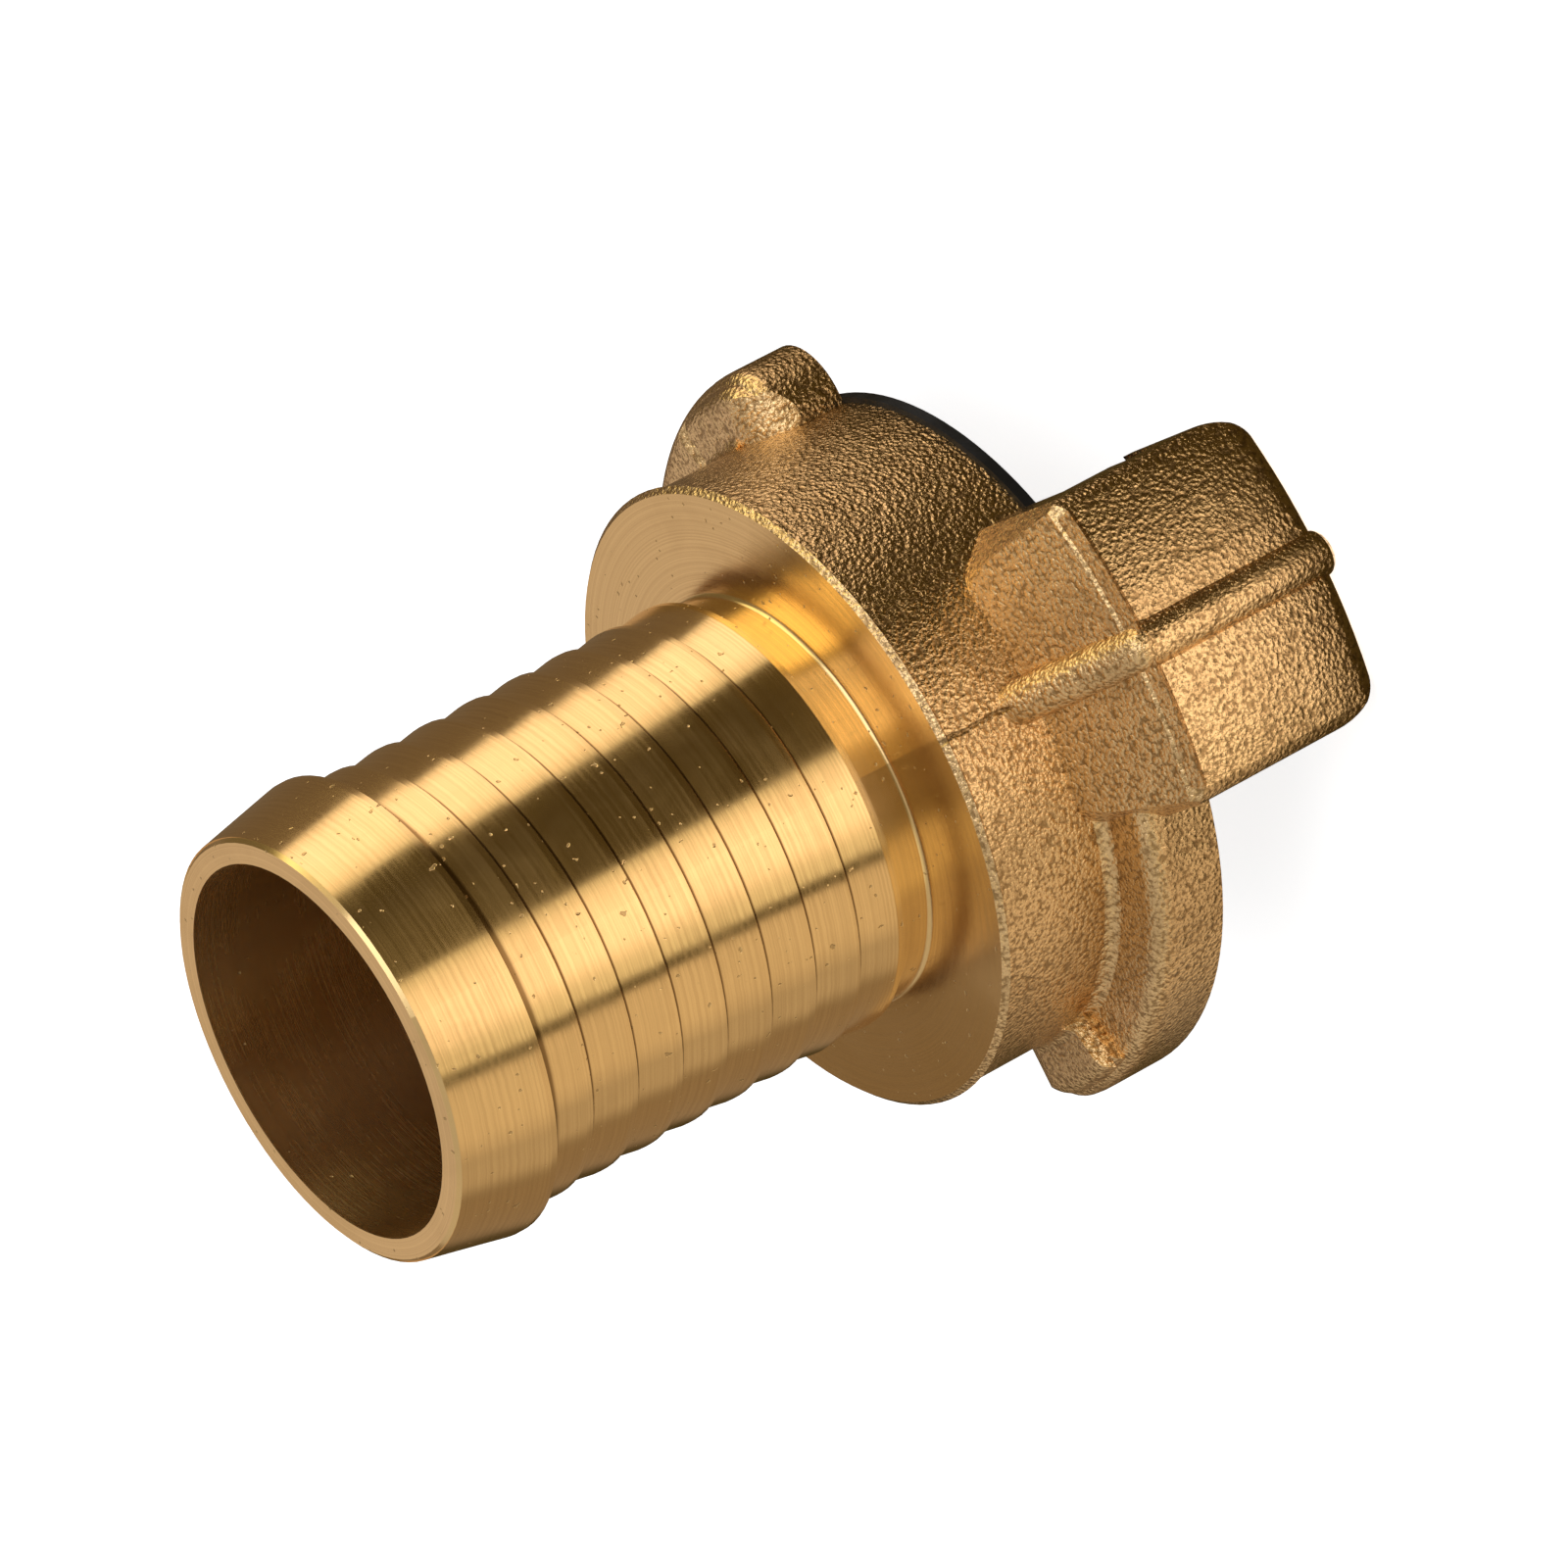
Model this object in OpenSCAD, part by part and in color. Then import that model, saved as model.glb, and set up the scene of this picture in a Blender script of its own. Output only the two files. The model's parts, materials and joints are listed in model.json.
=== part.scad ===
/* [Bore and mouth] */
// Diameter of the bore through the hose tail and the head
bore_d = 19.8; // [17:0.1:20.6]
// Outside diameter of the mouth of the hose tail
mouth_d = 22.4; // [21.4:0.1:23.4]
// Chamfer round the outside of the mouth
mouth_chamfer = 0.2; // [0.1:0.05:0.4]

/* [Barbs] */
// Diameter over the first barb
first_barb_d = 24.4; // [23.6:0.1:26]
// Distance from the mouth to the crest of the first barb
first_barb_l = 5.1; // [3.5:0.1:7]
// Diameter over the small barbs
barb_d = 23; // [22.6:0.1:23.5]
// Radial height of the step behind each small barb
barb_step = 0.4; // [0.35:0.05:0.6]
// Distance from one small barb to the next
barb_pitch = 2.71; // [2:0.01:3.5]
// Number of small barbs behind the first one
barb_n = 8; // [5:1:10]
// Width of the round land on each crest
barb_land = 0.35; // [0.2:0.05:0.8]
// Chamfer in the corner at the foot of each step
barb_foot = 0.3; // [0.1:0.05:0.3]

/* [Root of the tail] */
// Diameter of the plain neck between the last barb and the turned face
root_d = 21.8; // [21.4:0.1:22.4]
// Length of that plain neck
root_l = 2.1; // [1.2:0.1:5]
// Radius in the corner between the plain neck and the turned face
root_fillet_r = 0.35; // [0.2:0.05:1]

/* [Head] */
// Diameter of the cast head
head_d = 32.8; // [31:0.1:33.2]
// Length of the head, from the turned face to the cast front
head_l = 10.9; // [10:0.1:16]
// Diameter of the turned face
face_d = 33.3; // [33.3:0.1:34]
// Height of the chamfer round the turned face
face_chamfer = 0.3; // [0.1:0.1:0.8]
// Length over which the rim of the face runs down to the cast head
face_lip = 0.2; // [0.2:0.1:0.6]

/* [Wings] */
// Diameter over the two wings
wing_d = 39.8; // [38.6:0.1:40]
// Thickness of a wing at its sliding face
wing_t = 3.95; // [3:0.05:5]
// Angle from the middle of a claw to where the end of its wing starts to round off
wing_angle = 89.5; // [84:0.5:96]
// Radius of the rounded edge of a wing
wing_edge_r = 1; // [0.5:0.1:1.2]
// Radius in the corner between a wing and the head
wing_root_r = 0.8; // [0.4:0.1:1.2]
// Radius of the free end of a wing, seen along the axis
wing_end_r = 3.1; // [2.6:0.1:3.4]
// Height of the stop pad on the back of a wing
pad_h = 0.65; // [0.4:0.05:1.2]
// Angle from the foot of the pad to where the wing starts to round off
pad_angle = 14.5; // [12:0.5:24]
// Slope from the sliding face up to the pad
pad_slope = 26; // [20:1:45]
// How far the pad stays inside the edge of the wing
pad_inset = 0.45; // [0.4:0.05:0.8]
// Radius of the rounded edge of the pad
pad_edge_r = 1; // [0.95:0.05:1.3]
// Radius over which the pad drops to the free end
pad_end_r = 3.3; // [2.8:0.1:4]

/* [Claws] */
// Distance between the inner faces of the two claws
claw_span = 40.4; // [40.2:0.1:42]
// Thickness of a claw across its outer wall
claw_t = 3.75; // [3:0.05:5]
// Width of a claw
claw_w = 16.1; // [15.5:0.1:16.1]
// How far the claws stand out in front of the cast front
claw_reach = 8.65; // [8:0.05:10]
// Radius of the front corners of a claw, seen from outside
claw_corner_r = 2.8; // [1.5:0.1:4]
// Radius of the front edge of a claw, seen from the side
claw_edge_r = 1.3; // [0.6:0.1:1.6]
// Radius of the long edges of a claw
claw_side_r = 1.3; // [0.5:0.1:1.5]
// Thickness of the hook at the tip of a claw
hook_t = 3.3; // [2.4:0.1:3.4]
// How far the hook reaches inwards
hook_depth = 2.4; // [1.5:0.1:2.6]
// Slope of the gripping face of the hook
hook_ramp = 3; // [1:0.5:4]

/* [Back of the claws] */
// Width of a claw where its back meets the head
claw_back_w = 12.6; // [9:0.1:13]
// Length of the sloping back behind the cast front
claw_back_l = 5.3; // [5:0.1:7]
// Radius of the back corners of a claw
claw_back_r = 1.8; // [1:0.1:3]
// Distance from the tip of a claw to the ridge across it
ridge_l = 11.3; // [10:0.1:11.8]
// Height of that ridge
ridge_h = 0.45; // [0.2:0.05:0.7]
// How far the ridge stops short of the sides of the claw
ridge_end = 0.8; // [0.4:0.1:1.5]
// Length of the steep bevel up to the ridge
ridge_bevel = 0.6; // [0.4:0.1:1]
// Radius of the parting bead along the middle of a claw
bead_r = 1.2; // [0.8:0.1:1.6]
// Height that the parting bead stands out
bead_h = 0.7; // [0.3:0.05:0.9]
// Radius of the rounded tip of the bead
bead_tip_r = 0.5; // [0.2:0.1:0.8]
// How far the bead runs past the back of the claw
bead_run = 2; // [0.8:0.1:2.4]

/* [Seal] */
// Diameter of the flange of the seal
seal_d = 33.4; // [31:0.1:34]
// How far the seal stands out of the cast front
seal_out = 0.6; // [0.3:0.1:1]
// Diameter of the sleeve that holds the seal in the head
seal_sleeve_d = 27.2; // [25:0.1:28]
// Depth of the sleeve in the head
seal_depth = 5.3; // [4.6:0.1:7]
// Diameter over the retaining ring round the sleeve
seal_ring_d = 29; // [28.4:0.1:30]
// Width of the retaining ring
seal_ring_w = 1.6; // [1:0.1:2]
// Diameter of the hole in the seal
seal_bore_d = 20.4; // [18:0.1:22]
// Height of the sealing lip round that hole
seal_lip_h = 0.35; // [0.2:0.05:0.6]
// Width of the sealing lip
seal_lip_w = 1.6; // [1:0.1:2.5]

/* [Hidden] */
$fn = 96;
// Overlap that joins pieces of one solid
sink = 0.5;
// Overshoot of a cutting shape
over = 1;
// How far a round surface crosses the wall that it runs into
lead = 0.03;
bore_r = bore_d / 2;
head_r = head_d / 2;
face_r = face_d / 2;
wing_r = wing_d / 2;
root_r = root_d / 2;
barb_r = barb_d / 2;
first_barb_r = first_barb_d / 2;
mouth_r = mouth_d / 2;
valley_r = barb_r - barb_step;
claw_in_r = claw_span / 2;
claw_r = claw_in_r + claw_t;
hook_r = claw_in_r - hook_depth;
front_z = claw_reach;
seal_z = front_z - seal_out;
wing_z = front_z + wing_t;
pad_z = wing_z + pad_h;
pad_from = wing_angle - pad_angle;
// Angle by which the pad starts before the foot of its slope
pad_lead_angle = 3;
back_z = front_z + claw_back_l;
face_z = front_z + head_l;
tail_l = first_barb_l + barb_n * barb_pitch + root_l;
mouth_z = face_z + tail_l;
seal_ring_z = front_z + seal_depth / 2 - seal_ring_w / 2;
ridge_r = claw_r + ridge_h;
bevel_z = ridge_l + ridge_bevel;
bevel_r = claw_r - ridge_bevel;

// Quarter of a circle cut out of a square, for a concave corner
module cove(r) {
  difference() {
    translate([-sink, -sink]) square(r + sink);
    translate([r - lead, r - lead]) circle(r);
  }
}

// One barb of the tail: a cone that widens away from the mouth, with a land at its crest
module barb_outline(crest_z, length, start_r, crest_r) {
  polygon([
    [0, crest_z],
    [crest_r, crest_z],
    [crest_r, crest_z + barb_land],
    [start_r, crest_z + length],
    [0, crest_z + length]
  ]);
}

// Chamfer in the corner between the foot of a step and what lies behind it
module foot_outline(crest_z, foot_r) {
  polygon([
    [foot_r - sink, crest_z],
    [foot_r + barb_foot, crest_z],
    [foot_r, crest_z - barb_foot],
    [foot_r - sink, crest_z - barb_foot]
  ]);
}

// Outline of the hose tail, turned round the axis
module tail_outline() {
  first_z = mouth_z - first_barb_l;
  difference() {
    barb_outline(first_z, first_barb_l, mouth_r, first_barb_r);
    translate([mouth_r, mouth_z]) rotate(45) square(mouth_chamfer * sqrt(2), center = true);
  }
  for (i = [1 : barb_n])
    barb_outline(first_z - i * barb_pitch, barb_pitch, valley_r, barb_r);
  for (i = [0 : barb_n])
    foot_outline(first_z - i * barb_pitch, i < barb_n ? valley_r : root_r);
  translate([0, face_z - sink]) square([root_r, root_l + sink]);
  translate([root_r, face_z]) cove(root_fillet_r);
}

// Outline of the head, turned round the axis
module head_outline() {
  polygon([
    [0, front_z],
    [head_r, front_z],
    [head_r, face_z - face_chamfer - face_lip],
    [face_r, face_z - face_chamfer],
    [face_r - face_chamfer, face_z],
    [0, face_z]
  ]);
}

// Half of a block with a rounded top edge, from one radius out to another
module rounded_step(inner, outer, top, edge) {
  translate([inner, front_z]) square([outer - edge - inner, top - front_z]);
  translate([inner, front_z]) square([outer - inner, top - edge - front_z]);
  translate([outer - edge, top - edge]) circle(edge);
}

// Part of a ring, from one angle to another, clockwise as seen from the tail
module arc(from, to) {
  rotate(-to) rotate_extrude(angle = to - from) children();
}

// One layer of a wing up to its round free end: the sliding part, or the pad on it
module wing_layer(from, inset, top, edge) {
  arc(from, wing_angle) rounded_step(head_r - sink, wing_r - inset, top, edge);
  rotate(-wing_angle) translate([wing_r - wing_end_r, 0, 0])
    rotate_extrude() rounded_step(0, wing_end_r - inset, top, edge);
}

// Wedge above the slope that leads up to the pad
module pad_slope_cut() {
  rotate(-pad_from)
    translate([0, 0, wing_z])
      rotate([pad_slope, 0, 0]) cube([wing_d, wing_d, wing_d]);
}

// What is left over above the round drop at the free end of a wing
module wing_end_cut() {
  size = pad_end_r + over;
  rotate(-wing_angle) translate([0, 0, pad_z - pad_end_r + lead]) difference() {
    translate([0, -size, 0]) cube([wing_d, size, size]);
    rotate([0, 90, 0]) cylinder(r = pad_end_r, h = wing_d);
  }
}

// One wing, from under its claw to its free end, with the stop pad on its back
module wing() {
  difference() {
    union() {
      wing_layer(0, 0, wing_z, wing_edge_r);
      difference() {
        union() {
          wing_layer(pad_from - pad_lead_angle, pad_inset, pad_z, pad_edge_r);
          arc(pad_from - pad_lead_angle, wing_angle) translate([head_r, pad_z]) cove(wing_root_r);
        }
        pad_slope_cut();
      }
    }
    wing_end_cut();
  }
  arc(0, pad_from + pad_lead_angle) translate([head_r, wing_z]) cove(wing_root_r);
}

// Section of a claw through its middle, turned round the axis
module claw_section() {
  polygon([
    [hook_r, 0],
    [claw_r - claw_edge_r, 0],
    [claw_r - claw_edge_r, claw_edge_r],
    [claw_r, claw_edge_r],
    [claw_r, ridge_l],
    [bevel_r, bevel_z],
    [head_r, back_z],
    [head_r - sink, back_z],
    [head_r - sink, front_z],
    [claw_in_r, front_z],
    [claw_in_r, hook_t],
    [hook_r, hook_t]
  ]);
  translate([claw_r - claw_edge_r, claw_edge_r]) circle(claw_edge_r);
}

// Outline of a claw as seen from outside, with rounded corners and a narrower back
module claw_face() {
  half = claw_w / 2;
  back_half = claw_back_w / 2;
  side_l = norm([half - back_half, back_z - ridge_l]);
  nx = (back_z - ridge_l) / side_l;
  nz = (half - back_half) / side_l;
  corner_z = back_z - claw_back_r;
  corner_x = half - (claw_back_r + nz * (corner_z - ridge_l)) / nx;
  translate([-half, claw_corner_r]) square([claw_w, ridge_l - claw_corner_r]);
  translate([claw_corner_r - half, 0]) square([claw_w - 2 * claw_corner_r, ridge_l]);
  for (s = [-1, 1]) {
    translate([s * (half - claw_corner_r), claw_corner_r]) circle(claw_corner_r);
    translate([s * corner_x, corner_z]) circle(claw_back_r);
  }
  polygon([
    [-half, ridge_l - over],
    [-half, ridge_l],
    [-corner_x - claw_back_r * nx, corner_z + claw_back_r * nz],
    [-corner_x, back_z],
    [corner_x, back_z],
    [corner_x + claw_back_r * nx, corner_z + claw_back_r * nz],
    [half, ridge_l],
    [half, ridge_l - over]
  ]);
}

// Outline of a claw as seen along the axis, with its long edges rounded
module claw_plan() {
  half = claw_w / 2;
  c_y = half - claw_side_r;
  c_x = sqrt(pow(claw_r - claw_side_r, 2) - c_y * c_y) + lead;
  out = (claw_r + over) / norm([c_x, c_y]);
  in_x = hook_r / 2;
  translate([in_x, -half]) square([c_x - in_x, claw_w]);
  for (s = [-1, 1]) translate([c_x, s * c_y]) circle(claw_side_r);
  polygon([[0, 0], [c_x * out, -c_y * out], [c_x * out, c_y * out]]);
}

// Ridge across a claw, short of its rounded edges
module claw_ridge() {
  half_angle = asin((claw_w / 2 - ridge_end) / claw_r);
  arc(-half_angle, half_angle) polygon([
    [bevel_r, ridge_l - ridge_h],
    [claw_r, ridge_l - ridge_h / 2],
    [ridge_r, ridge_l + ridge_h / 2],
    [bevel_r, bevel_z - ridge_h / 4]
  ]);
}

// Parting bead: straight along the front block of a claw, then down its back to the head
module parting_bead() {
  c_r = claw_r + bead_h - bead_r;
  end_r = head_r + bead_h - bead_r;
  end_z = back_z + bead_run - bead_r;
  back_r = bead_r - lead;
  length = norm([c_r - end_r, end_z - ridge_l]);
  translate([c_r, 0, 0]) rotate_extrude() {
    translate([0, bead_tip_r]) square([bead_r, ridge_l - bead_tip_r]);
    square([bead_r - bead_tip_r, ridge_l]);
    intersection() {
      translate([bead_r - bead_tip_r, bead_tip_r]) circle(bead_tip_r);
      square([bead_r, bead_r]);
    }
  }
  translate([c_r, 0, ridge_l])
    rotate([0, atan2(end_r - c_r, end_z - ridge_l), 0])
      rotate_extrude() {
        square([back_r, length]);
        for (z = [0, length]) intersection() {
          translate([0, z]) circle(back_r);
          translate([0, z - bead_r]) square([bead_r, 2 * bead_r]);
        }
      }
}

// One claw with its hook, its ridge and its bead
module claw() {
  intersection() {
    rotate_extrude() claw_section();
    rotate([90, 0, 90]) linear_extrude(ridge_r + over) claw_face();
    linear_extrude(back_z + over) claw_plan();
  }
  claw_ridge();
  parting_bead();
}

// Slope on the gripping face of a hook, so that turning draws the halves together
module hook_cut() {
  reach = claw_w + over;
  translate([claw_in_r, 0, hook_t])
    rotate([hook_ramp, 0, 0])
      translate([-hook_depth - over, -reach / 2, 0]) cube([hook_depth + over, reach, wing_t / 2]);
}

// Recess in the front of the head that the seal sits in
module seal_recess() {
  translate([0, 0, front_z - over]) cylinder(d = seal_sleeve_d, h = seal_depth + over);
  translate([0, 0, seal_ring_z]) cylinder(d = seal_ring_d, h = seal_ring_w);
}

// One brass casting: head, wings, claws and the turned hose tail
module body() {
  color([0.78, 0.6, 0.36]) difference() {
    union() {
      rotate_extrude() {
        head_outline();
        tail_outline();
      }
      for (turn = [0, 180])
        rotate(turn) {
          wing();
          claw();
        }
    }
    translate([0, 0, front_z]) cylinder(r = bore_r, h = mouth_z);
    seal_recess();
    for (turn = [0, 180]) rotate(turn) hook_cut();
  }
}

// Rubber seal: a flange over the cast front, a sleeve with a retaining ring, and a lip
module seal() {
  color([0.08, 0.08, 0.08]) difference() {
    union() {
      translate([0, 0, seal_z]) cylinder(d = seal_d, h = seal_out);
      translate([0, 0, front_z]) cylinder(d = seal_sleeve_d, h = seal_depth);
      translate([0, 0, seal_ring_z]) cylinder(d = seal_ring_d, h = seal_ring_w);
      translate([0, 0, seal_z - seal_lip_h]) cylinder(d = seal_bore_d + 2 * seal_lip_w, h = seal_out);
    }
    translate([0, 0, seal_z - over]) cylinder(d = seal_bore_d, h = seal_depth + seal_out + 2 * over);
  }
}

body();
seal();
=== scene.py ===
"""Looks for the claw hose coupling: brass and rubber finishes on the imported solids, and the studio.

The two solids keep their shape. The casting's body is divided by where each face lies
into cast, turned and bored surfaces, and each has its own procedural material.
"""

import json
import math

import bpy
from mathutils import Matrix, Vector


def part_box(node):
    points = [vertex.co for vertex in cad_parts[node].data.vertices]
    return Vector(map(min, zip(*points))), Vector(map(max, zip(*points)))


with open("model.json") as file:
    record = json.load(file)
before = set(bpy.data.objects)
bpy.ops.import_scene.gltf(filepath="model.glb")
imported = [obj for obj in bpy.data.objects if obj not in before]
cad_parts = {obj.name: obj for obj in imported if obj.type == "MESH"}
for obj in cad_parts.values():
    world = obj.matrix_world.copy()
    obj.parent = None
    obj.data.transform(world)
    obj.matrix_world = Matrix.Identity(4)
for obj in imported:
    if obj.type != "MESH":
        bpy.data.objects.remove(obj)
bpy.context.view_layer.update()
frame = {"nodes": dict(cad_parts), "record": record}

bl_info = {
    "name": "Claw hose coupling looks",
    "version": (1, 0, 0),
    "blender": (4, 5, 0),
    "location": "3D View > Sidebar > Coupling",
    "description": "Brass and rubber finishes and a studio for a claw hose coupling",
    "category": "Material",
}

MM = 0.001
TAU = 2 * math.pi

MOUTH_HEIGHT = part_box("body")[1][2]
BORE_RADIUS = next(
    m["dims"]["r_mm"] for m in frame["record"]["mounts"] if m["name"] == "through_bore"
) * MM

# The body's materials, in the order of their slots.
CAST, TURNED, BORED = 0, 1, 2
# How far below the turned face the body's surface still counts as turned.
FACE_MARGIN = 0.05 * MM
# Shares of the bore's radius within which the front is turned, and the wall is bored.
TURNED_REACH = 1.3
BORED_REACH = 1.02

# What dirt and scale leave in pits and on the parting line, and the painted shade in the corners
# behind the barbs.
PIT_COLOUR = (0.1, 0.055, 0.02, 1)
CORNER_SHADE_COLOUR = (0.17, 0.085, 0.025, 1)
PARTING_COLOUR = (0.16, 0.09, 0.03, 1)
# Share of red, green and blue that is left in tool marks and stains.
MARK_SHADE = (0.62, 0.56, 0.5)
PIT_DEPTH = 0.02 * MM
PIT_ROUGHNESS = 0.4
PARTING_DEPTH = 0.12 * MM
PARTING_SWAY = 0.6 * MM
PARTING_EDGE = (0.04 * MM, 0.16 * MM)
# The parting line is drawn on the head's side, and not further out on the claws.
PARTING_REACH = 16.9 * MM
RUBBER_GRAIN_DEPTH = 0.008 * MM

# The photograph's camera, fitted to the round edges of the tail and the face.
CAMERA_PLACE = Vector((0.51212, 0.03214, 0.28748))
CAMERA_RIGHT = Vector((0.43667, -0.44394, -0.78246))
CAMERA_UP = Vector((0.16321, 0.89442, -0.41638))
CAMERA_AHEAD = Vector((-0.88469, -0.05411, -0.46302))
CAMERA_LENS_MM = 271.96
CAMERA_SENSOR_MM = 36.0

# Light and dark cards round the part: name, middle and half width of the azimuth they take up,
# the width of their soft edge, all in degrees, how far out they start in metres, and their
# colour, where 1 is white.
CARDS = (
    ("table", -60.0, 19.75, 2.0, 0.022, (0.72, 0.57, 0.39)),
    ("table_side", -89.0, 14.0, 18.0, 0.022, (0.50, 0.40, 0.28)),
    ("table_back", -122.0, 21.0, 16.0, 0.040, (0.29, 0.21, 0.13)),
    ("front_box", -10.4, 23.9, 2.0, 0.025, (0.92, 0.79, 0.54)),
    ("front_glow", -8.0, 14.0, 15.0, 0.025, (1.60, 1.30, 1.00)),
    ("top_box", 85.75, 20.25, 2.0, 0.037, (1.00, 0.86, 0.62)),
    ("top_glow", 87.0, 15.0, 12.0, 0.050, (1.60, 1.28, 1.02)),
    ("back_gap", 150.0, 44.0, 8.0, 0.030, (0.17, 0.12, 0.07)),
)
HIGH_CARDS = (
    ("high_side", -110.0, 40.0, 20.0, 0.1, (0.56, 0.50, 0.40)),
    ("high_table", -55.0, 16.0, 14.0, 0.1, (0.86, 0.80, 0.60)),
    ("high_front", 21.0, 20.0, 20.0, 0.1, (0.56, 0.46, 0.24)),
    ("high_top", 90.0, 26.0, 8.0, 0.1, (1.90, 1.70, 0.95)),
    ("back_wall", -176.0, 30.0, 12.0, 0.1, (0.60, 0.50, 0.41)),
)
# How far past its start a card is at full strength.
CARD_FADE = 0.012
# Heights between which the low cards give way to the high ones, and those to the dome.
HIGH_RISE = (0.05, 0.15)
DOME_RISE = (0.46, 0.6)
# Colours between the low cards, between the high ones, of the dome, and of the near card, which is a
# painted reflection of shade.
GAP_COLOUR = (0.058, 0.039, 0.011, 1.0)
HIGH_GAP_COLOUR = (0.17, 0.135, 0.07, 1.0)
DOME_COLOUR = (0.52, 0.48, 0.40, 1.0)
NEAR_SHADE_COLOUR = (0.215, 0.15, 0.085, 1.0)
# Radius and height of the dome's rings, from the floor under the part to over its top.
DOME_PROFILE = (
    (0.001, 0.0003),
    (0.20, 0.0003),
    (0.45, 0.0003),
    (0.60, 0.06),
    (0.66, 0.25),
    (0.60, 0.50),
    (0.45, 0.70),
    (0.22, 0.82),
    (0.001, 0.86),
)
DOME_SIDES = 96
# The near card, a painted reflection of shade, stands across the X axis, between these places along Y
# and Z.
NEAR_CARD_X = -0.055
NEAR_CARD_Y = (-0.060, -0.003)
NEAR_CARD_Z = (0.034, 0.061)

LAMP_PLACE = (0.30, 0.22, 0.42)
FLOOR_DROP = 0.02 * MM
# Strength of the floor's own colour, for rays that see it.
FLOOR_GLOW = 0.74


class CouplingBrass(bpy.types.PropertyGroup):
    """Colours and surface sizes of the brass body."""

    turned_colour: bpy.props.FloatVectorProperty(
        name="Turned brass",
        description="Colour of the brass where a lathe tool has cut it",
        subtype="COLOR",
        size=3,
        min=0,
        max=1,
        default=(0.92, 0.66, 0.33),
    )
    cast_colour: bpy.props.FloatVectorProperty(
        name="Cast brass",
        description="Colour of the blasted casting on its grains",
        subtype="COLOR",
        size=3,
        min=0,
        max=1,
        default=(0.92, 0.65, 0.36),
    )
    cast_dark: bpy.props.FloatVectorProperty(
        name="Cast brass, hollows",
        description="Colour of the casting between its grains",
        subtype="COLOR",
        size=3,
        min=0,
        max=1,
        default=(0.42, 0.27, 0.13),
    )
    bore_colour: bpy.props.FloatVectorProperty(
        name="Bored brass",
        description="Colour of the brass inside the bore",
        subtype="COLOR",
        size=3,
        min=0,
        max=1,
        default=(0.93, 0.68, 0.38),
    )
    turned_roughness: bpy.props.FloatProperty(
        name="Turned roughness",
        description="How dull the turned brass is across its tool marks",
        default=0.17,
        min=0.05,
        max=1,
        subtype="FACTOR",
    )
    cast_roughness: bpy.props.FloatProperty(
        name="Cast roughness",
        description="How dull each grain of the casting is",
        default=0.15,
        min=0.05,
        max=1,
        subtype="FACTOR",
    )
    grain_size: bpy.props.FloatProperty(
        name="Grain size",
        description="Width of a blasted grain on the casting",
        default=0.25 * MM,
        min=0.05 * MM,
        max=1 * MM,
        unit="LENGTH",
        precision=5,
    )
    grain_depth: bpy.props.FloatProperty(
        name="Grain depth",
        description="Height of the grains over the hollows between them",
        default=0.115 * MM,
        min=0,
        max=0.3 * MM,
        unit="LENGTH",
        precision=5,
    )
    mark_pitch: bpy.props.FloatProperty(
        name="Tool mark pitch",
        description="Distance between the lathe tool's marks",
        default=0.16 * MM,
        min=0.03 * MM,
        max=1 * MM,
        unit="LENGTH",
        precision=5,
    )
    mark_depth: bpy.props.FloatProperty(
        name="Tool mark depth",
        description="Depth of the lathe tool's marks",
        default=0.0022 * MM,
        min=0,
        max=0.05 * MM,
        unit="LENGTH",
        precision=7,
    )
    tail_length: bpy.props.FloatProperty(
        name="Turned length",
        description="Length of the turned tail, from its mouth to the face",
        default=28.88 * MM,
        min=5 * MM,
        max=60 * MM,
        unit="LENGTH",
        precision=5,
    )
    barb_first: bpy.props.FloatProperty(
        name="First barb",
        description="Distance from the mouth to the first barb's crest",
        default=5.1 * MM,
        min=1 * MM,
        max=20 * MM,
        unit="LENGTH",
        precision=5,
    )
    barb_pitch: bpy.props.FloatProperty(
        name="Barb pitch",
        description="Distance from one barb's crest to the next",
        default=2.71 * MM,
        min=1 * MM,
        max=6 * MM,
        unit="LENGTH",
        precision=5,
    )
    # The painted shade line in the corner behind each barb.
    corner_shade_width: bpy.props.FloatProperty(
        name="Corner line width",
        description="Width of the dark line in the corner behind each barb",
        default=0.34 * MM,
        min=0,
        max=1 * MM,
        unit="LENGTH",
        precision=5,
    )
    # The wider painted shade line behind the first barb.
    first_corner_shade_width: bpy.props.FloatProperty(
        name="First corner line width",
        description="Width of the dark line behind the first barb",
        default=0.85 * MM,
        min=0,
        max=2 * MM,
        unit="LENGTH",
        precision=5,
    )


class CouplingRubber(bpy.types.PropertyGroup):
    """Colour and surface of the rubber seal."""

    colour: bpy.props.FloatVectorProperty(
        name="Rubber",
        description="Colour of the seal",
        subtype="COLOR",
        size=3,
        min=0,
        max=1,
        default=(0.007, 0.007, 0.008),
    )
    roughness: bpy.props.FloatProperty(
        name="Roughness",
        description="How dull the seal is",
        default=0.55,
        min=0.05,
        max=1,
        subtype="FACTOR",
    )
    grain_size: bpy.props.FloatProperty(
        name="Mould texture size",
        description="Width of the fine texture that the mould leaves",
        default=0.35 * MM,
        min=0.05 * MM,
        max=2 * MM,
        unit="LENGTH",
        precision=5,
    )


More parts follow.
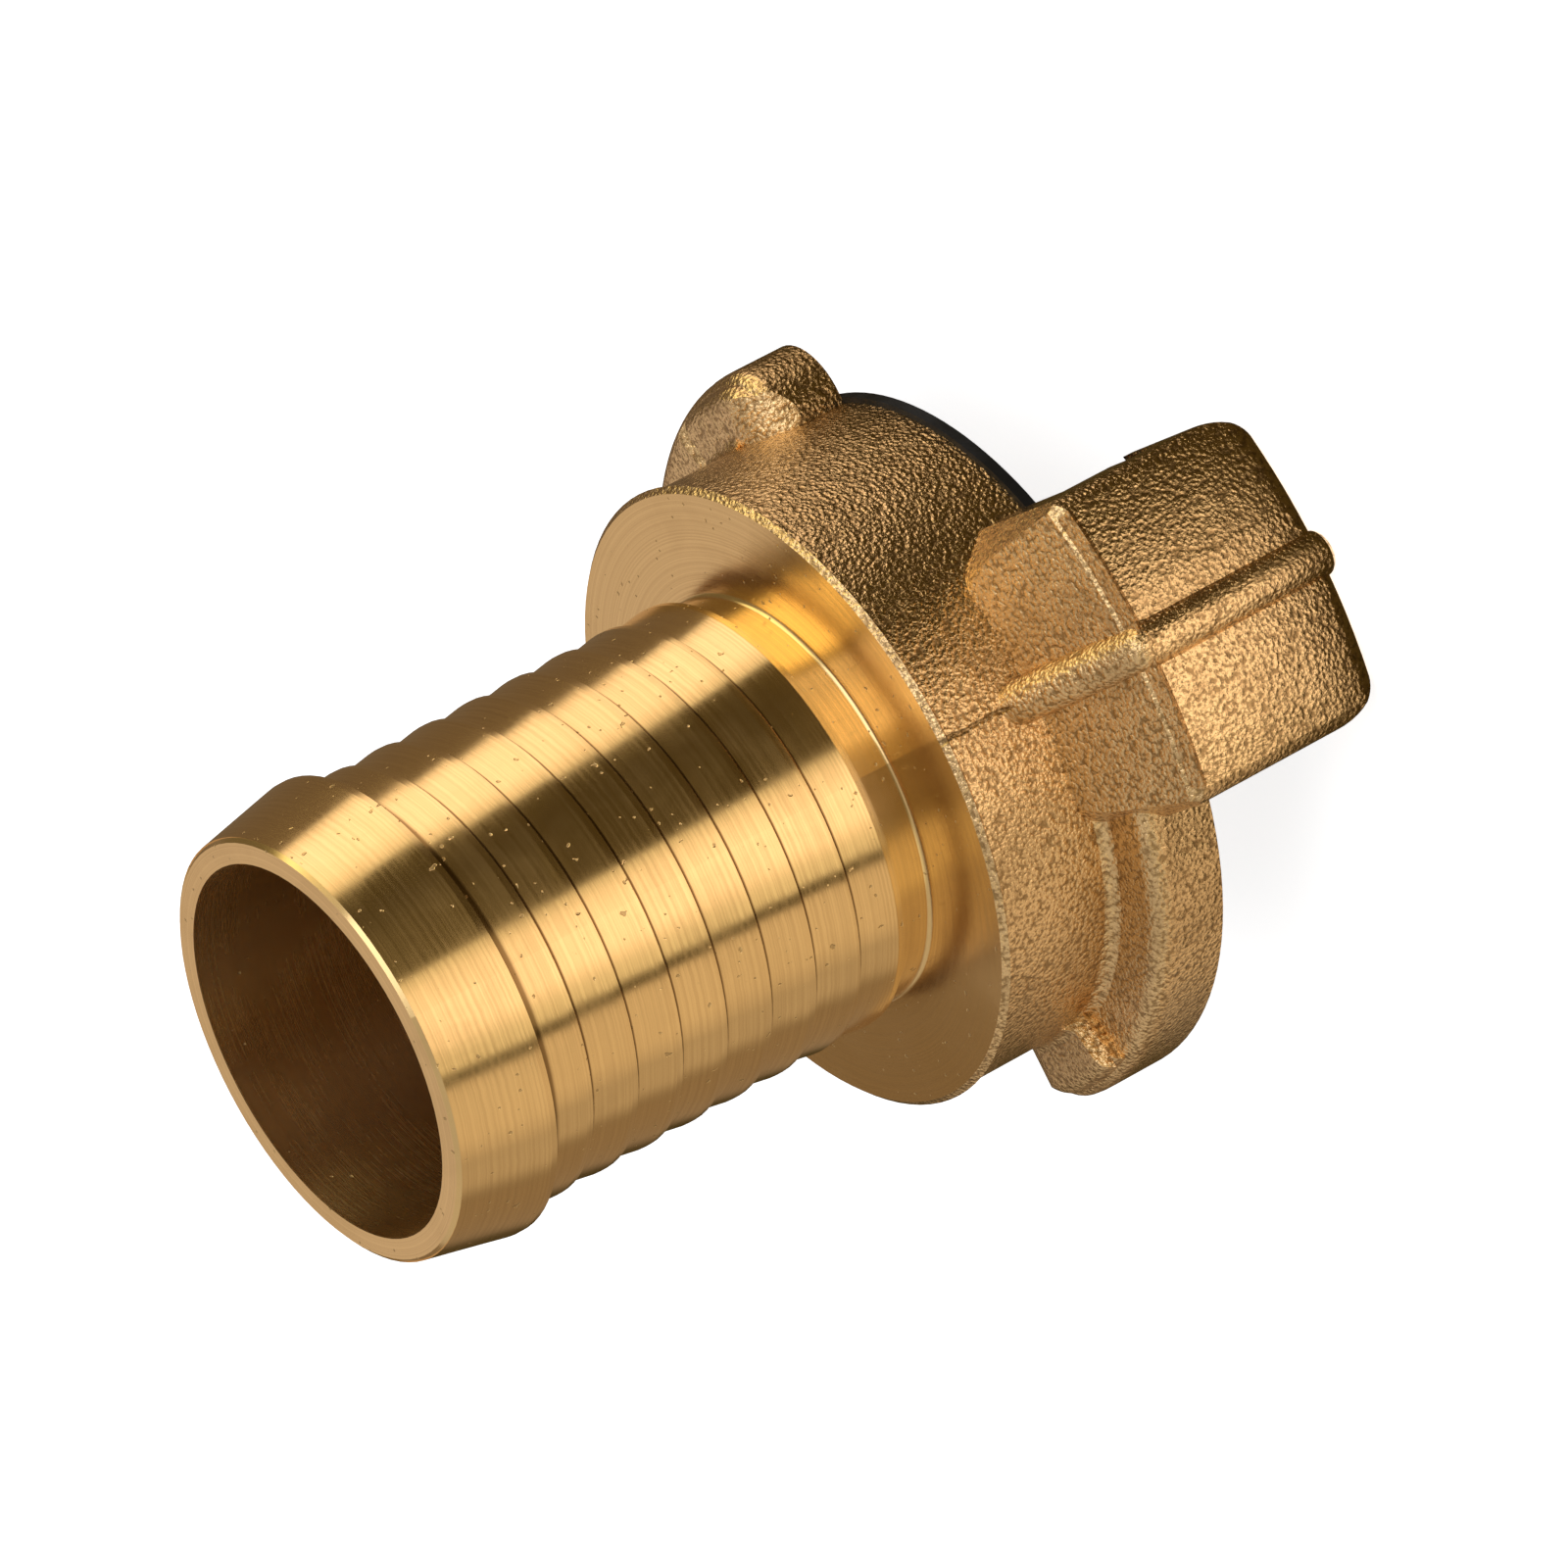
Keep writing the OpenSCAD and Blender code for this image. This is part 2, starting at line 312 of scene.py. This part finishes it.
class CouplingStudio(bpy.types.PropertyGroup):
    """Floor, background and lamps."""

    floor_colour: bpy.props.FloatVectorProperty(
        name="Floor",
        description="Colour of the floor",
        subtype="COLOR",
        size=3,
        min=0,
        max=1,
        default=(0.93, 0.93, 0.93),
    )
    floor_width: bpy.props.FloatProperty(
        name="Floor width",
        description="Side of the square floor",
        default=3.0,
        min=0.5,
        max=20,
        unit="LENGTH",
    )
    lamp_power: bpy.props.FloatProperty(
        name="Lamp power",
        description="Power of the soft lamp over the part",
        default=0.65,
        min=0,
        max=100,
        unit="POWER",
    )
    lamp_width: bpy.props.FloatProperty(
        name="Lamp width",
        description="Side of the square soft lamp",
        default=0.4,
        min=0.05,
        max=5,
        unit="LENGTH",
    )
    fill_strength: bpy.props.FloatProperty(
        name="Fill strength",
        description="Light from all round on dull surfaces, where 1 is white",
        default=0.55,
        min=0,
        max=2,
    )


def node(tree, kind, settings=None, sockets=None):
    """Adds a shader node, sets its settings and sets or links its inputs by name or place."""
    made = tree.nodes.new(kind)
    for name, value in (settings or {}).items():
        setattr(made, name, value)
    for name, value in (sockets or {}).items():
        if isinstance(value, bpy.types.NodeSocket):
            tree.links.new(value, made.inputs[name])
        else:
            made.inputs[name].default_value = value
    return made


def math_node(tree, operation, *values):
    """The result of one Math node."""
    inputs = dict(enumerate(values))
    return node(tree, "ShaderNodeMath", {"operation": operation}, inputs).outputs[0]


def blend_value(tree, factor, low, high):
    """A value that goes from low to high with the factor."""
    made = node(
        tree, "ShaderNodeMix", {"data_type": "FLOAT"}, {0: factor, 2: low, 3: high}
    )
    return made.outputs[0]


def blend_colour(tree, factor, low, high):
    """A colour that goes from low to high with the factor."""
    made = node(
        tree, "ShaderNodeMix", {"data_type": "RGBA"}, {0: factor, 6: low, 7: high}
    )
    return made.outputs[2]


def ramp(tree, value, low, high, to_low=0.0, to_high=1.0):
    """A value brought from one range to another with soft ends."""
    made = node(
        tree,
        "ShaderNodeMapRange",
        {"interpolation_type": "SMOOTHSTEP"},
        {"Value": value, "From Min": low, "From Max": high, "To Min": to_low, "To Max": to_high},
    )
    return made.outputs["Result"]


def share(tree, mask, most):
    """A mask with soft ends that rises to no more than a share."""
    return ramp(tree, mask, 0, 1, 0.0, most)


def split(tree, vector):
    """The X, Y and Z of a vector."""
    return node(tree, "ShaderNodeSeparateXYZ", None, {0: vector}).outputs


def from_axis(tree, parts):
    """The distance from the part's axis of a place given by its X, Y and Z."""
    flat = node(tree, "ShaderNodeCombineXYZ", None, {0: parts[0], 1: parts[1]})
    length = node(tree, "ShaderNodeVectorMath", {"operation": "LENGTH"}, {0: flat.outputs[0]})
    return length.outputs["Value"]


def new_group(name, inputs, outputs):
    """A shader node group with named sockets, and its ends."""
    tree = bpy.data.node_groups.new(name, "ShaderNodeTree")
    for label, kind, value in inputs:
        socket = tree.interface.new_socket(label, in_out="INPUT", socket_type=kind)
        if value is not None:
            socket.default_value = value
    for label, kind in outputs:
        tree.interface.new_socket(label, in_out="OUTPUT", socket_type=kind)
    return tree, tree.nodes.new("NodeGroupInput"), tree.nodes.new("NodeGroupOutput")


def use_group(tree, name, sockets=None):
    """One use of a node group, with its own values."""
    return node(tree, "ShaderNodeGroup", {"node_tree": bpy.data.node_groups[name]}, sockets)


def noise(tree, vector, scale, detail=2.0, roughness=0.5, distortion=0.0):
    """The value of a noise texture."""
    made = node(
        tree,
        "ShaderNodeTexNoise",
        None,
        {
            "Vector": vector,
            "Scale": scale,
            "Detail": detail,
            "Roughness": roughness,
            "Distortion": distortion,
        },
    )
    return made.outputs[0]


def line_noise(tree, rate, detail, roughness=0.5):
    """The value of a noise texture that changes in one direction only."""
    made = node(
        tree,
        "ShaderNodeTexNoise",
        {"noise_dimensions": "1D"},
        {"W": rate, "Scale": 1.0, "Detail": detail, "Roughness": roughness},
    )
    return made.outputs[0]


def make_grain_group():
    """Blasted grain: a height, and a mask that is 1 on the grains and 0 in the hollows."""
    tree, start, end = new_group(
        "Blasted grain",
        (("Vector", "NodeSocketVector", None), ("Size", "NodeSocketFloat", 0.25 * MM)),
        (("Height", "NodeSocketFloat"), ("Mask", "NodeSocketFloat")),
    )
    place = start.outputs["Vector"]
    scale = math_node(tree, "DIVIDE", 1.0, start.outputs["Size"])
    cells = node(
        tree,
        "ShaderNodeTexVoronoi",
        {"feature": "SMOOTH_F1"},
        {"Vector": place, "Scale": scale, "Smoothness": 0.35},
    ).outputs["Distance"]
    fine = noise(tree, place, math_node(tree, "MULTIPLY", scale, 1.5), 2.5, 0.6)
    broad = noise(tree, place, math_node(tree, "MULTIPLY", scale, 0.25), 2.0)
    round_top = math_node(tree, "MULTIPLY", cells, 0.5)
    pebble = math_node(tree, "SUBTRACT", math_node(tree, "MULTIPLY", fine, 0.6), round_top)
    height = math_node(tree, "ADD", pebble, math_node(tree, "MULTIPLY", broad, 0.5))
    tree.links.new(height, end.inputs["Height"])
    tree.links.new(ramp(tree, pebble, -0.12, 0.1), end.inputs["Mask"])


def make_marks_group():
    """Lathe marks round the part's axis: a height, and a mask of their light and dark lines."""
    tree, start, end = new_group(
        "Tool marks",
        (("Vector", "NodeSocketVector", None), ("Pitch", "NodeSocketFloat", 0.15 * MM)),
        (("Height", "NodeSocketFloat"), ("Mask", "NodeSocketFloat")),
    )
    parts = split(tree, start.outputs["Vector"])
    along = math_node(tree, "ADD", parts[2], from_axis(tree, parts))
    rate = math_node(tree, "DIVIDE", along, start.outputs["Pitch"])
    lines = line_noise(tree, rate, 3.0, 0.6)
    slow = line_noise(tree, math_node(tree, "MULTIPLY", rate, 0.17), 2.0)
    height = math_node(tree, "ADD", lines, math_node(tree, "MULTIPLY", slow, 1.5))
    tree.links.new(height, end.inputs["Height"])
    tree.links.new(ramp(tree, lines, 0.3, 0.7), end.inputs["Mask"])


def make_wear_group():
    """Nicks and stains: a mask of small pits, and a mask of broad dull patches."""
    tree, start, end = new_group(
        "Nicks and stains",
        (
            ("Vector", "NodeSocketVector", None),
            ("Pit size", "NodeSocketFloat", 0.4 * MM),
            ("Pit share", "NodeSocketFloat", 0.3),
        ),
        (("Pits", "NodeSocketFloat"), ("Stains", "NodeSocketFloat")),
    )
    scale = math_node(tree, "DIVIDE", 1.0, start.outputs["Pit size"])
    spots = noise(tree, start.outputs["Vector"], scale, 1.0, 0.4)
    lower = math_node(tree, "MULTIPLY", start.outputs["Pit share"], 0.3)
    edge = math_node(tree, "SUBTRACT", 0.82, lower)
    pits = ramp(tree, spots, edge, math_node(tree, "ADD", edge, 0.05))
    patches = noise(tree, start.outputs["Vector"], 210.0, 4.0, 0.6, 0.4)
    tree.links.new(pits, end.inputs["Pits"])
    tree.links.new(ramp(tree, patches, 0.42, 0.68), end.inputs["Stains"])


def painted_corner_shade(tree, place, brass):
    """A mask of the painted shade lines in the corners behind the barbs."""
    height = split(tree, place)[2]
    behind = math_node(tree, "SUBTRACT", MOUTH_HEIGHT - brass.barb_first, height)
    past = math_node(tree, "GREATER_THAN", behind, 0.0)
    turn = math_node(tree, "WRAP", behind, brass.barb_pitch, 0.0)
    first = math_node(tree, "LESS_THAN", behind, brass.barb_pitch)
    width = blend_value(tree, first, brass.corner_shade_width, brass.first_corner_shade_width)
    line = ramp(
        tree,
        turn,
        math_node(tree, "MULTIPLY", width, 0.75),
        math_node(tree, "MULTIPLY", width, 1.1),
        1.0,
        0.0,
    )
    last = brass.tail_length - brass.barb_first - brass.barb_pitch / 2
    on_tail = math_node(tree, "LESS_THAN", behind, last)
    return math_node(tree, "MULTIPLY", line, math_node(tree, "MULTIPLY", past, on_tail))


def parting_line(tree, place):
    """A mask of the line where the halves of the mould met, along the head's sides."""
    parts = split(tree, place)
    sway = math_node(tree, "SUBTRACT", noise(tree, place, 700.0, 2.0, 0.6), 0.5)
    sway = math_node(tree, "MULTIPLY", sway, PARTING_SWAY)
    away = math_node(tree, "ABSOLUTE", math_node(tree, "ADD", parts[1], sway))
    line = ramp(tree, away, *PARTING_EDGE, 1.0, 0.0)
    low = math_node(tree, "LESS_THAN", math_node(tree, "ABSOLUTE", parts[0]), PARTING_REACH)
    return math_node(tree, "MULTIPLY", line, low)


def empty_material(name):
    """A node material without nodes."""
    material = bpy.data.materials.new(name)
    material.use_nodes = True
    material.node_tree.nodes.clear()
    return material


def new_material(name):
    """A node material with its Principled shader and the object's coordinates."""
    material = empty_material(name)
    tree = material.node_tree
    shader = tree.nodes.new("ShaderNodeBsdfPrincipled")
    out = tree.nodes.new("ShaderNodeOutputMaterial")
    tree.links.new(shader.outputs[0], out.inputs[0])
    place = tree.nodes.new("ShaderNodeTexCoord").outputs["Object"]
    return material, tree, shader, place


def bump(tree, height, distance, normal=None):
    """A normal bent by a height that is given in the texture's own units times a distance."""
    sockets = {"Height": height, "Distance": distance, "Strength": 1.0}
    if normal is not None:
        sockets["Normal"] = normal
    return node(tree, "ShaderNodeBump", None, sockets).outputs[0]


def turned_material(name, colour, roughness, brass, pits, dull, barbs):
    """Brass with the fine marks of a lathe tool round the part's axis."""
    material, tree, shader, place = new_material(name)
    marks = use_group(tree, "Tool marks", {"Vector": place, "Pitch": brass.mark_pitch})
    wear = use_group(tree, "Nicks and stains", {"Vector": place, "Pit share": pits})
    lines, stains, holes = marks.outputs["Mask"], wear.outputs["Stains"], wear.outputs["Pits"]
    dark = (*(part * left for part, left in zip(colour, MARK_SHADE)), 1)
    tone = blend_colour(tree, share(tree, lines, 0.3), (*colour, 1), dark)
    tone = blend_colour(tree, share(tree, stains, dull), tone, dark)
    tone = blend_colour(tree, share(tree, holes, 0.3), tone, PIT_COLOUR)
    # Painted shade in the corners behind the barbs.
    if barbs:
        corners = share(tree, painted_corner_shade(tree, place, brass), 0.85)
        tone = blend_colour(tree, corners, tone, CORNER_SHADE_COLOUR)
    rough = blend_value(tree, stains, roughness, roughness * (1 + 2.5 * dull))
    rough = math_node(tree, "ADD", rough, share(tree, lines, 0.05))
    rough = blend_value(tree, holes, rough, PIT_ROUGHNESS)
    normal = bump(tree, marks.outputs["Height"], brass.mark_depth)
    normal = bump(tree, math_node(tree, "MULTIPLY", holes, -1.0), PIT_DEPTH, normal)
    tree.links.new(tone, shader.inputs["Base Color"])
    tree.links.new(rough, shader.inputs["Roughness"])
    tree.links.new(normal, shader.inputs["Normal"])
    shader.inputs["Metallic"].default_value = 1.0
    shader.inputs["Anisotropic"].default_value = 0.7
    shader.inputs["Anisotropic Rotation"].default_value = 0.25
    round_axis = node(tree, "ShaderNodeTangent", {"direction_type": "RADIAL", "axis": "Z"})
    tree.links.new(round_axis.outputs[0], shader.inputs["Tangent"])
    return material


def cast_material(brass):
    """Blasted cast brass, with grain, darker hollows and a faint parting line on the head."""
    material, tree, shader, place = new_material("cast_brass")
    grain = use_group(tree, "Blasted grain", {"Vector": place, "Size": brass.grain_size})
    wear = use_group(tree, "Nicks and stains", {"Vector": place, "Pit size": 0.7 * MM})
    dark = (*brass.cast_dark, 1)
    smooth = brass.cast_roughness
    tone = blend_colour(tree, grain.outputs["Mask"], dark, (*brass.cast_colour, 1))
    tone = blend_colour(tree, share(tree, wear.outputs["Stains"], 0.3), tone, dark)
    rough = ramp(tree, grain.outputs["Mask"], 0, 1, smooth + 0.16, smooth)
    parting = parting_line(tree, place)
    tone = blend_colour(tree, share(tree, parting, 0.6), tone, PARTING_COLOUR)
    normal = bump(tree, grain.outputs["Height"], brass.grain_depth)
    normal = bump(tree, math_node(tree, "MULTIPLY", parting, -1.0), PARTING_DEPTH, normal)
    tree.links.new(tone, shader.inputs["Base Color"])
    tree.links.new(rough, shader.inputs["Roughness"])
    tree.links.new(normal, shader.inputs["Normal"])
    shader.inputs["Metallic"].default_value = 1.0
    return material


class COUPLING_OT_brass(bpy.types.Operator):
    """Gives the body its cast, turned and bored brass"""

    bl_idname = "coupling.brass"
    bl_label = "Finish the brass body"

    def execute(self, context):
        brass = context.scene.coupling_brass
        body = frame["nodes"]["body"]
        smooth = brass.turned_roughness
        turned = turned_material(
            "turned_brass", brass.turned_colour, smooth, brass, pits=0.3, dull=0.12, barbs=True
        )
        bored = turned_material(
            "bored_brass", brass.bore_colour, smooth * 1.3, brass, pits=0.1, dull=0.04, barbs=False
        )
        body.data.materials.clear()
        for material in (cast_material(brass), turned, bored):
            body.data.materials.append(material)
        face_height = MOUTH_HEIGHT - brass.tail_length
        for face in body.data.polygons:
            centre = face.center
            radius = math.hypot(centre.x, centre.y)
            inward = centre.x * face.normal.x + centre.y * face.normal.y < 0
            if radius < BORE_RADIUS * BORED_REACH and inward:
                face.material_index = BORED
            elif centre.z > face_height - FACE_MARGIN or radius < BORE_RADIUS * TURNED_REACH:
                face.material_index = TURNED
            else:
                face.material_index = CAST
        return {"FINISHED"}


class COUPLING_OT_rubber(bpy.types.Operator):
    """Gives the seal its black rubber"""

    bl_idname = "coupling.rubber"
    bl_label = "Finish the rubber seal"

    def execute(self, context):
        rubber = context.scene.coupling_rubber
        material, tree, shader, place = new_material("black_rubber")
        grain = use_group(tree, "Blasted grain", {"Vector": place, "Size": rubber.grain_size})
        wear = use_group(tree, "Nicks and stains", {"Vector": place, "Pit share": 0.0})
        grey = tuple(min(1.0, c * 2.6 + 0.004) for c in rubber.colour)
        tone = blend_colour(tree, wear.outputs["Stains"], (*rubber.colour, 1), (*grey, 1))
        rough = ramp(tree, grain.outputs["Mask"], 0, 1, rubber.roughness + 0.12, rubber.roughness)
        shader.inputs["Specular IOR Level"].default_value = 0.25
        tree.links.new(tone, shader.inputs["Base Color"])
        tree.links.new(rough, shader.inputs["Roughness"])
        normal = bump(tree, grain.outputs["Height"], RUBBER_GRAIN_DEPTH)
        tree.links.new(normal, shader.inputs["Normal"])
        seal = frame["nodes"]["seal"]
        seal.data.materials.clear()
        seal.data.materials.append(material)
        return {"FINISHED"}


def make_card_group():
    """One card of the studio: a mask of the azimuths that it takes up."""
    tree, start, end = new_group(
        "Studio card",
        (
            ("Azimuth", "NodeSocketFloat", 0.0),
            ("Radius", "NodeSocketFloat", 0.0),
            ("Middle", "NodeSocketFloat", 0.0),
            ("Half width", "NodeSocketFloat", 10.0),
            ("Soft edge", "NodeSocketFloat", 4.0),
            ("Start", "NodeSocketFloat", 0.03),
        ),
        (("Mask", "NodeSocketFloat"),),
    )
    away = math_node(tree, "SUBTRACT", start.outputs["Azimuth"], start.outputs["Middle"])
    away = math_node(tree, "ABSOLUTE", math_node(tree, "WRAP", away, 180.0, -180.0))
    half = start.outputs["Half width"]
    soft = math_node(tree, "MULTIPLY", start.outputs["Soft edge"], 0.5)
    inside = math_node(tree, "SUBTRACT", half, soft)
    mask = ramp(tree, away, inside, math_node(tree, "ADD", half, soft), 1.0, 0.0)
    begin = start.outputs["Start"]
    out = ramp(tree, start.outputs["Radius"], begin, math_node(tree, "ADD", begin, CARD_FADE))
    tree.links.new(math_node(tree, "MULTIPLY", mask, out), end.inputs["Mask"])


def glow(tree, colour):
    """Makes the material give out a colour."""
    light = node(tree, "ShaderNodeEmission", None, {"Color": colour})
    out = tree.nodes.new("ShaderNodeOutputMaterial")
    tree.links.new(light.outputs[0], out.inputs[0])


def card_row(tree, azimuth, radius, cards, colour):
    """The colour of a row of cards, laid one over the other on a plain colour."""
    for _name, middle, half, soft, start, shade in cards:
        sockets = {
            "Azimuth": azimuth,
            "Radius": radius,
            "Middle": middle,
            "Half width": half,
            "Soft edge": soft,
            "Start": start,
        }
        mask = use_group(tree, "Studio card", sockets).outputs[0]
        colour = blend_colour(tree, mask, colour, (*shade, 1.0))
    return colour


def card_material():
    """Light and dark cards by azimuth, seen only in the brass's reflections."""
    material = empty_material("studio_cards")
    tree = material.node_tree
    parts = split(tree, tree.nodes.new("ShaderNodeTexCoord").outputs["Object"])
    azimuth = math_node(tree, "DEGREES", math_node(tree, "ARCTAN2", parts[1], parts[0]))
    radius = from_axis(tree, parts)
    low = card_row(tree, azimuth, radius, CARDS, GAP_COLOUR)
    high = card_row(tree, azimuth, radius, HIGH_CARDS, HIGH_GAP_COLOUR)
    colour = blend_colour(tree, ramp(tree, parts[2], *HIGH_RISE), low, high)
    glow(tree, blend_colour(tree, ramp(tree, parts[2], *DOME_RISE), colour, DOME_COLOUR))
    return material


def make_cards():
    """A closed dome of cards round the part."""
    turns = [TAU * i / DOME_SIDES for i in range(DOME_SIDES)]
    points = [
        (radius * math.cos(turn), radius * math.sin(turn), height)
        for radius, height in DOME_PROFILE
        for turn in turns
    ]
    faces = []
    for ring in range(len(DOME_PROFILE) - 1):
        low, high = ring * DOME_SIDES, (ring + 1) * DOME_SIDES
        for i in range(DOME_SIDES):
            after = (i + 1) % DOME_SIDES
            faces.append((low + i, low + after, high + after, high + i))
    add_card("studio_cards", points, faces, card_material())


def make_shade_card():
    """A dark card close behind the part: painted shade that the lower half of the turned face shows
    in its reflection.
    """
    material = empty_material("shade_card")
    glow(material.node_tree, NEAR_SHADE_COLOUR)
    left, right = NEAR_CARD_Y
    bottom, top = NEAR_CARD_Z
    points = [
        (NEAR_CARD_X, y, z)
        for y, z in ((left, bottom), (right, bottom), (right, top), (left, top))
    ]
    add_card("shade_card", points, [(0, 1, 2, 3)], material)


def new_object(name, data):
    """A new object in the scene."""
    made = bpy.data.objects.new(name, data)
    bpy.context.scene.collection.objects.link(made)
    return made


def add_card(name, points, faces, material):
    """A card of the stage that shows only in reflections."""
    mesh = bpy.data.meshes.new(name)
    mesh.from_pydata(points, [], faces)
    mesh.materials.append(material)
    card = new_object(name, mesh)
    card.visible_camera = False
    card.visible_diffuse = False
    card.visible_shadow = False
    card.visible_transmission = False
    card.visible_volume_scatter = False


def seen_ray(tree):
    """1 for rays from the camera, from a reflection or through glass, otherwise 0."""
    path = tree.nodes.new("ShaderNodeLightPath").outputs
    either = math_node(tree, "MAXIMUM", path["Is Camera Ray"], path["Is Glossy Ray"])
    return math_node(tree, "MAXIMUM", either, path["Is Transmission Ray"])


def make_floor(studio):
    """A plain pale floor that keeps the part's soft shadow."""
    half = studio.floor_width / 2
    mesh = bpy.data.meshes.new("floor")
    mesh.from_pydata(
        [(-half, -half, 0), (half, -half, 0), (half, half, 0), (-half, half, 0)],
        [],
        [(0, 1, 2, 3)],
    )
    material = bpy.data.materials.new("floor")
    material.use_nodes = True
    tree = material.node_tree
    shader = tree.nodes["Principled BSDF"]
    shader.inputs["Base Color"].default_value = (*studio.floor_colour, 1)
    shader.inputs["Roughness"].default_value = 0.9
    shader.inputs["Specular IOR Level"].default_value = 0.0
    shader.inputs["Emission Color"].default_value = (1, 1, 1, 1)
    strength = math_node(tree, "MULTIPLY", seen_ray(tree), FLOOR_GLOW)
    tree.links.new(strength, shader.inputs["Emission Strength"])
    mesh.materials.append(material)
    floor = new_object("floor", mesh)
    floor.location.z = -FLOOR_DROP


def make_world(studio):
    """A white surround, and a softer fill for dull surfaces."""
    world = bpy.data.worlds.new("studio")
    world.use_nodes = True
    tree = world.node_tree
    back = tree.nodes["Background"]
    back.inputs["Color"].default_value = (1, 1, 1, 1)
    strength = blend_value(tree, seen_ray(tree), studio.fill_strength, 1.0)
    tree.links.new(strength, back.inputs["Strength"])
    bpy.context.scene.world = world


def make_lamp(name, place, width, power):
    """A square soft lamp that points at the part."""
    light = bpy.data.lights.new(name, "AREA")
    light.shape = "SQUARE"
    light.size = width
    light.energy = power
    lamp = new_object(name, light)
    lamp.location = place
    aim = Vector((0, 0, MOUTH_HEIGHT / 2)) - Vector(place)
    lamp.rotation_euler = aim.to_track_quat("-Z", "Y").to_euler()


def make_camera():
    """The camera at the photograph's place and angle."""
    data = bpy.data.cameras.new("camera")
    data.sensor_width = CAMERA_SENSOR_MM
    data.lens = CAMERA_LENS_MM
    data.clip_start = 0.01
    camera = new_object("camera", data)
    turn = Matrix((CAMERA_RIGHT, CAMERA_UP, -CAMERA_AHEAD)).transposed()
    camera.matrix_world = Matrix.Translation(CAMERA_PLACE) @ turn.to_4x4()
    bpy.context.scene.camera = camera


class COUPLING_OT_studio(bpy.types.Operator):
    """Makes the floor, the surround, the cards, the lamp and the camera"""

    bl_idname = "coupling.studio"
    bl_label = "Make the studio"

    def execute(self, context):
        studio = context.scene.coupling_studio
        make_card_group()
        make_floor(studio)
        make_world(studio)
        make_cards()
        make_shade_card()
        make_lamp("key_lamp", LAMP_PLACE, studio.lamp_width, studio.lamp_power)
        make_camera()
        context.scene.view_settings.view_transform = "Standard"
        return {"FINISHED"}


class COUPLING_PT_panel(bpy.types.Panel):
    """The coupling's pieces and stage"""

    bl_idname = "COUPLING_PT_panel"
    bl_label = "Claw hose coupling"
    bl_space_type = "VIEW_3D"
    bl_region_type = "UI"
    bl_category = "Coupling"

    def draw(self, context):
        for operator, group in STEPS:
            box = self.layout.box()
            box.operator(operator)
            settings = getattr(context.scene, group)
            for name in settings.bl_rna.properties.keys():
                if name not in ("rna_type", "name"):
                    box.prop(settings, name)


STEPS = (
    ("coupling.brass", "coupling_brass"),
    ("coupling.rubber", "coupling_rubber"),
    ("coupling.studio", "coupling_studio"),
)
GROUPS = (
    ("coupling_brass", CouplingBrass),
    ("coupling_rubber", CouplingRubber),
    ("coupling_studio", CouplingStudio),
)
CLASSES = (COUPLING_OT_brass, COUPLING_OT_rubber, COUPLING_OT_studio, COUPLING_PT_panel)


def register():
    """Registers the settings, the operators and the panel."""
    for name, group in GROUPS:
        bpy.utils.register_class(group)
        setattr(bpy.types.Scene, name, bpy.props.PointerProperty(type=group))
    for made in CLASSES:
        bpy.utils.register_class(made)


def unregister():
    """Takes the settings, the operators and the panel away again."""
    for made in reversed(CLASSES):
        bpy.utils.unregister_class(made)
    for name, group in reversed(GROUPS):
        delattr(bpy.types.Scene, name)
        bpy.utils.unregister_class(group)


def main():
    """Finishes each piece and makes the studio."""
    register()
    make_grain_group()
    make_marks_group()
    make_wear_group()
    bpy.ops.coupling.brass()
    bpy.ops.coupling.rubber()
    bpy.ops.coupling.studio()


if __name__ == "__main__":
    main()
